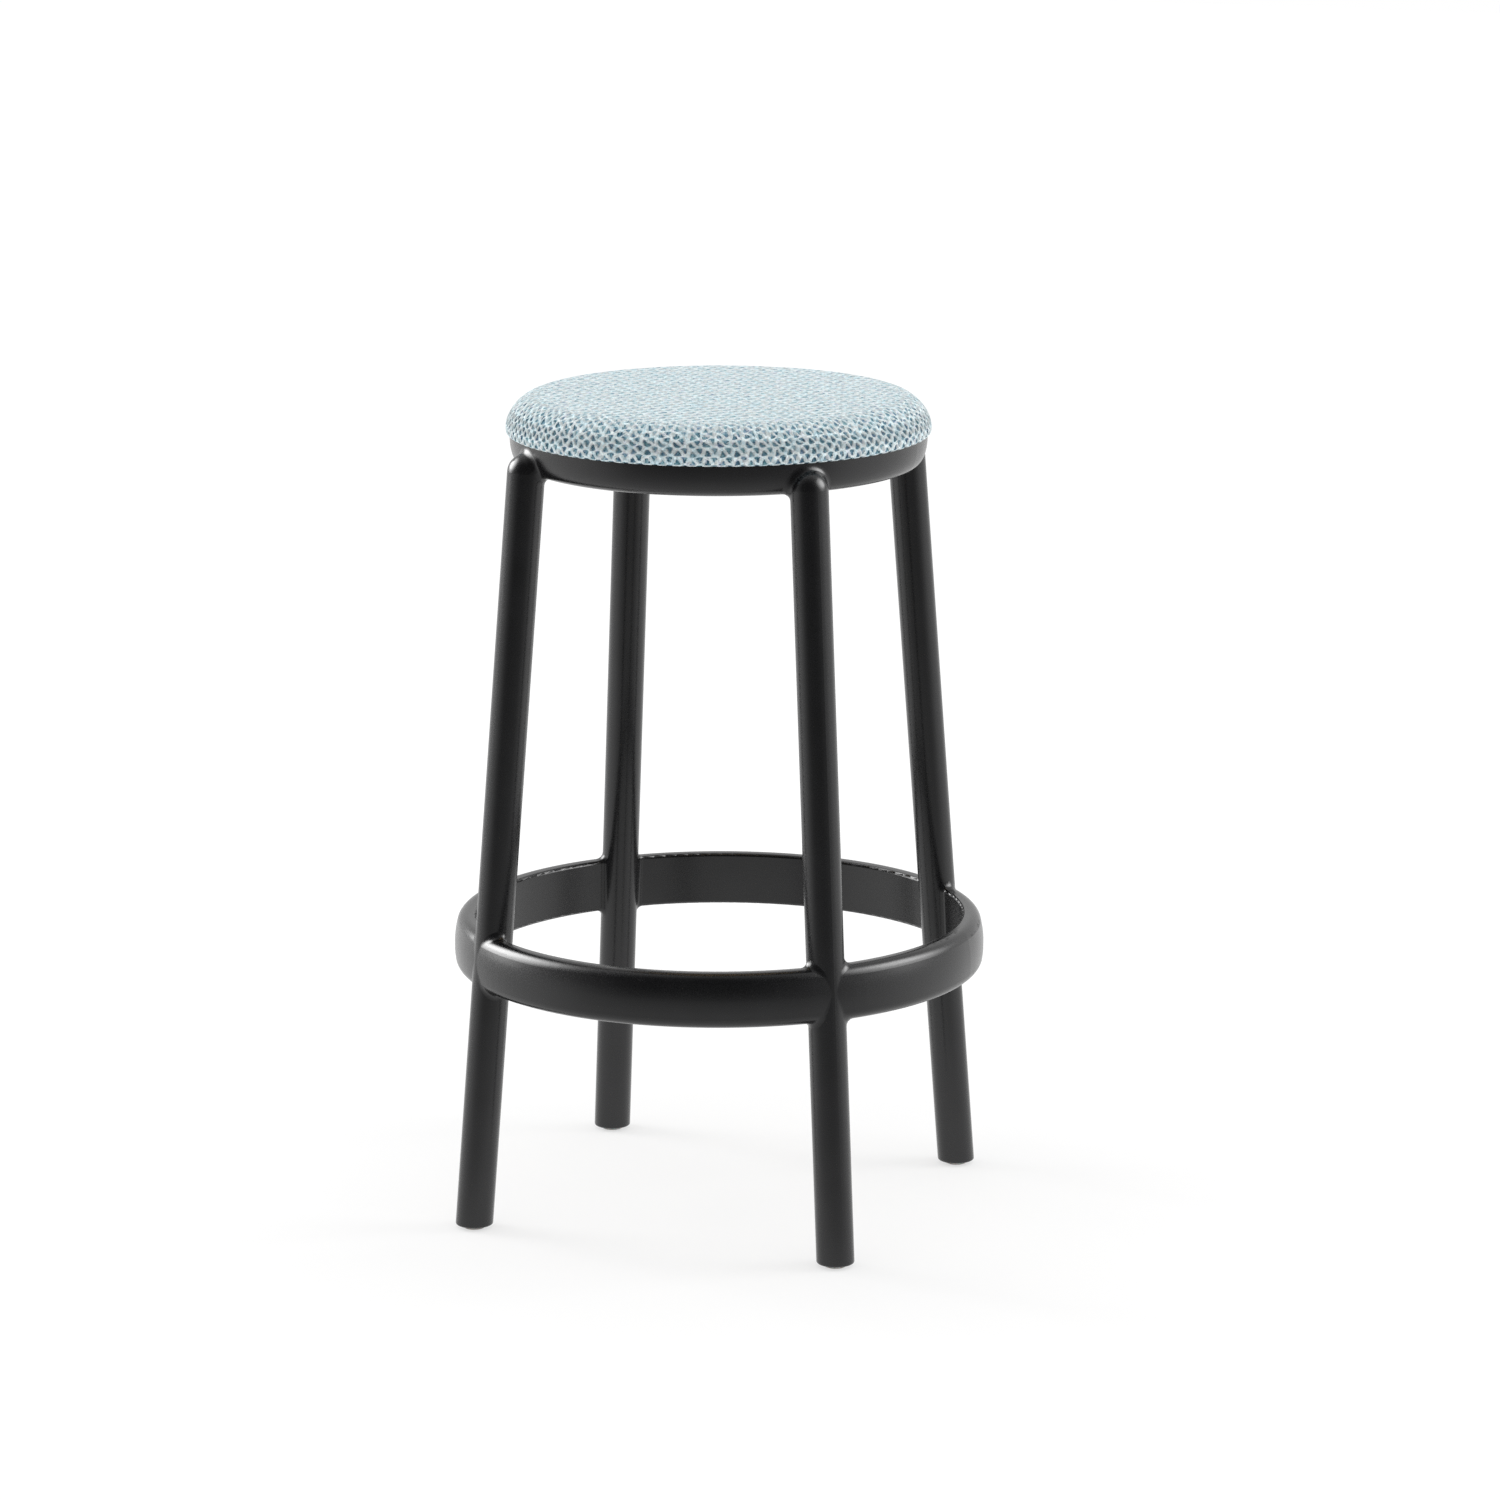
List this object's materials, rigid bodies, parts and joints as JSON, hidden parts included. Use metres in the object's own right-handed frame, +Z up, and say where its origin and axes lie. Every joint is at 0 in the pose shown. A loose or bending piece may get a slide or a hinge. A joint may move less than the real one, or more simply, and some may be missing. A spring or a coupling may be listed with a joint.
{
  "type": "bar stool",
  "caption": "Backless bar stool with a round upholstered seat on splayed round legs, tied by a hoop under the seat and a foot ring.",
  "frame": {"origin": "on the floor, under the middle of the seat", "axes": "+Z up along the seat's axis; the front is -Y, between two legs; +X is to the right of someone facing the front"},
  "size_m": [0.5129, 0.5128, 0.7934],
  "materials": {
    "frame_nylon": "matte black, very finely textured",
    "plug_plastic": "matte black",
    "glide_nylon": "milky natural nylon",
    "seat_fabric": "two-tone pale blue woven upholstery cloth",
    "foam": "open-cell foam",
    "plywood": "sanded birch plywood",
    "aluminium": "mill-finish aluminium tube",
    "zinc_steel": "zinc-plated steel"
  },
  "bodies": {
    "root": {"seat_hoop": "frame_nylon", "foot_ring": "frame_nylon", "upper_leg_front_left": "frame_nylon", "upper_leg_front_right": "frame_nylon", "upper_leg_back_left": "frame_nylon", "upper_leg_back_right": "frame_nylon", "lower_leg_front_left": "frame_nylon", "lower_leg_front_right": "frame_nylon", "lower_leg_back_left": "frame_nylon", "lower_leg_back_right": "frame_nylon", "leg_end_plug_front_left": "plug_plastic", "leg_end_plug_front_right": "plug_plastic", "leg_end_plug_back_left": "plug_plastic", "leg_end_plug_back_right": "plug_plastic", "glide_front_left": "glide_nylon", "glide_front_right": "glide_nylon", "glide_back_left": "glide_nylon", "glide_back_right": "glide_nylon", "seat_board": "plywood", "seat_foam": "foam", "seat_cover": "seat_fabric", "cover_staples": "zinc_steel", "seat_screws": "zinc_steel", "seat_washers": "zinc_steel", "tee_nuts": "zinc_steel", "hoop_sleeves": "aluminium", "upper_ring_sleeves": "aluminium", "lower_ring_sleeves": "aluminium"}
  },
  "joints": []
}
